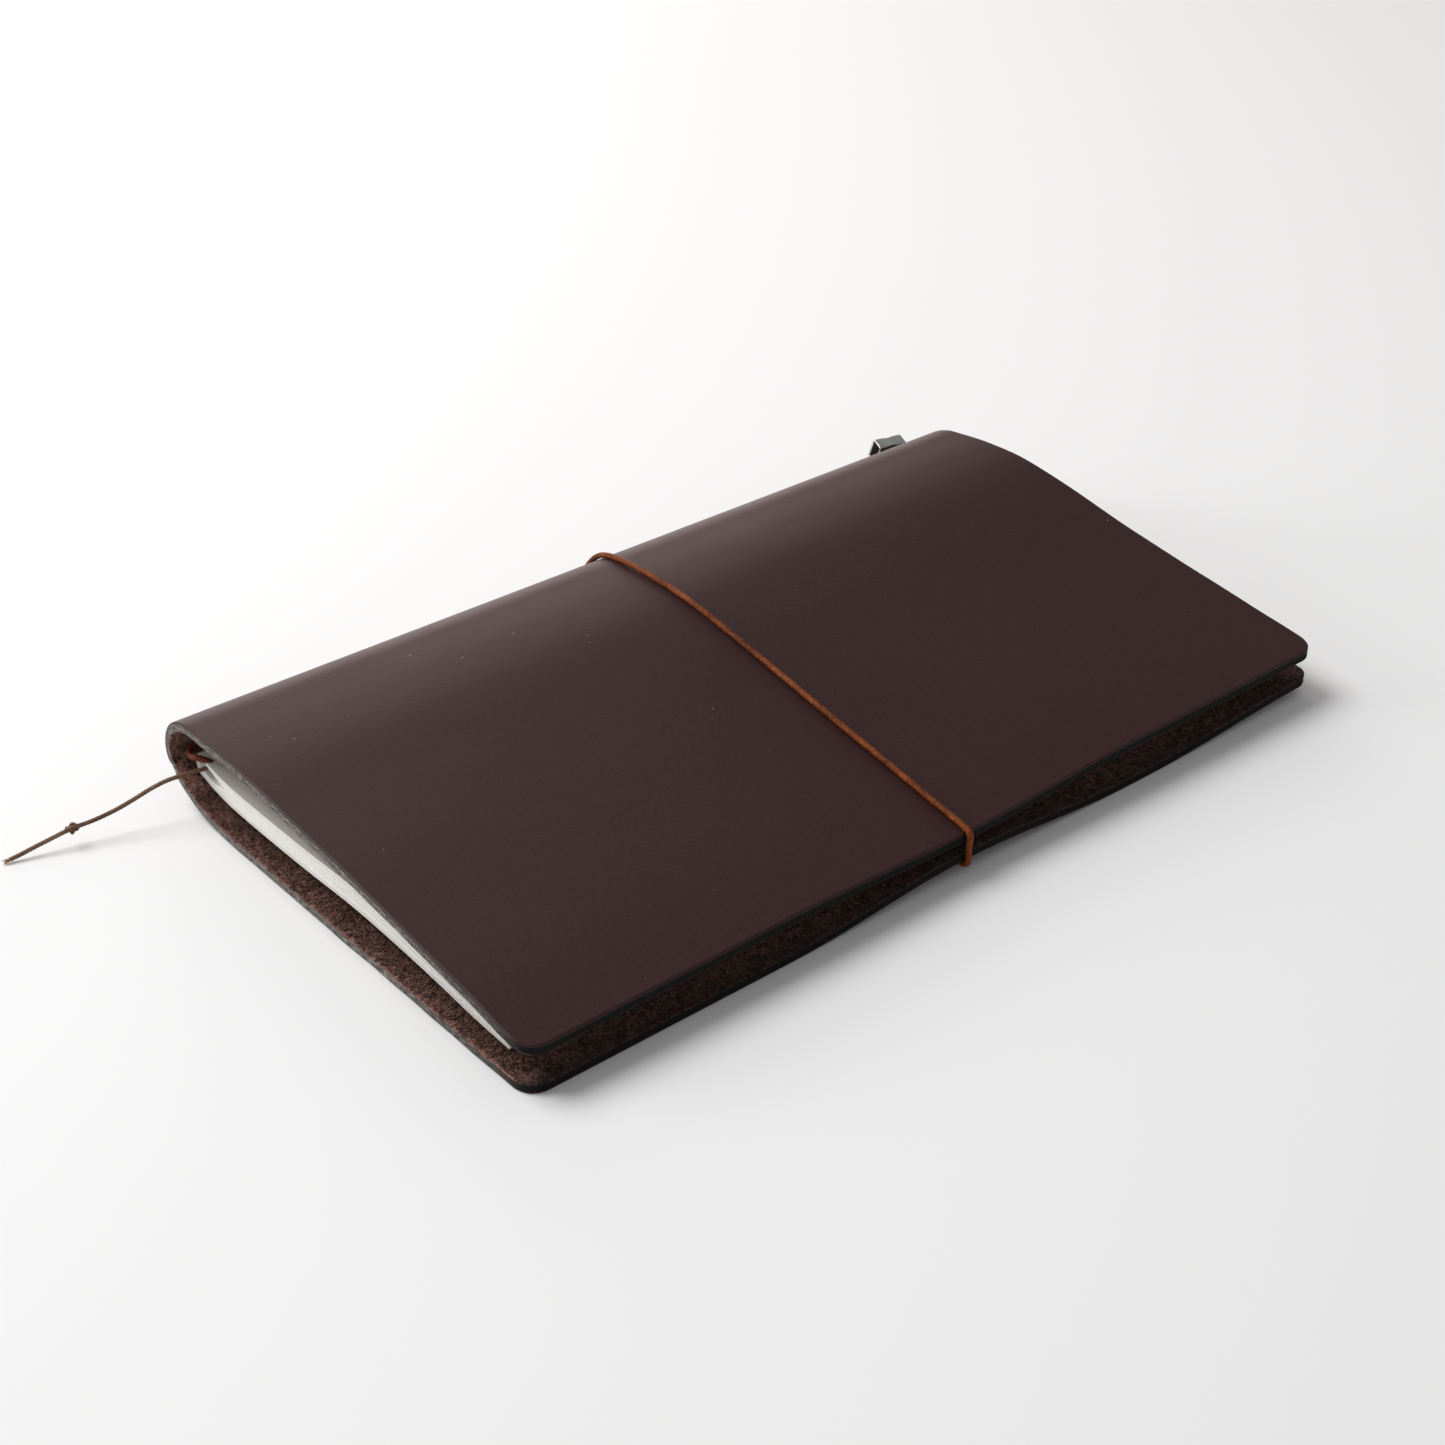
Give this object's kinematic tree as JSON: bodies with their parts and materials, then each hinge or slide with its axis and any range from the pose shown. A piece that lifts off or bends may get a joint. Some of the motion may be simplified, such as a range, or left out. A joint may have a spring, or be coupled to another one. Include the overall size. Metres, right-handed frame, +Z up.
{
  "type": "leather notebook cover",
  "caption": "Folded leather notebook cover with a stitched paper refill held by an elastic band, a closing elastic, a metal clip and a bookmark cord.",
  "frame": {"origin": "centre of the closed cover's footprint, on the table plane", "axes": "+X from the spine to the fore edge, +Y along the spine to the end with the metal clip, +Z up from the back panel to the front panel"},
  "size_m": [0.1351, 0.2586, 0.0251],
  "materials": {
    "hide": "smooth dark brown leather, fine grain, semi-matt, suede flesh side",
    "card": "plain card, matt",
    "paper": "uncoated off-white paper, matt",
    "thread": "waxed white thread",
    "elastic": "braided round elastic, rust brown",
    "cord": "twisted waxed cord, brown",
    "tin": "dull folded tin"
  },
  "bodies": {
    "back_cover": {"cover_back_panel": "hide", "refill_cover_rear": "card", "leaves_rear_1": "paper", "leaves_rear_2": "paper", "leaves_rear_3": "paper", "leaves_rear_4": "paper", "binding_thread": "thread", "refill_band": "elastic", "closing_elastic": "elastic", "bookmark_inner": "cord", "bookmark_cord": "cord", "bookmark_knot": "cord", "bookmark_tail": "cord"},
    "spine": {"cover_spine": "hide", "closing_knot": "elastic", "refill_band_return": "elastic", "refill_band_end": "elastic", "metal_clip": "tin"},
    "front_cover": {"cover_front_panel": "hide"},
    "refill_front": {"refill_cover_front": "card", "leaves_front_1": "paper", "leaves_front_2": "paper", "leaves_front_3": "paper", "leaves_front_4": "paper"}
  },
  "joints": [
    {"name": "spine_fold", "type": "hinge", "parent": "back_cover", "child": "spine", "pos_m": [-0.0582, 0, 0.0049], "axis": [0, -1, 0], "range_deg": [0, 64], "deforming": ["closing_elastic", "refill_band", "bookmark_inner"]},
    {"name": "front_fold", "type": "hinge", "parent": "spine", "child": "front_cover", "pos_m": [-0.0603, 0, 0.0194], "axis": [0, -1, 0], "range_deg": [0, 120], "deforming": ["closing_elastic"]},
    {"name": "refill_fold", "type": "hinge", "parent": "back_cover", "child": "refill_front", "pos_m": [-0.0556, 0, 0.01], "axis": [0, -1, 0], "range_deg": [0, 174.5]}
  ],
  "couplings": [
    {"joint": "front_fold", "follows": "spine_fold", "ratio": 1.875},
    {"joint": "refill_fold", "follows": "spine_fold", "ratio": 2.7265}
  ]
}
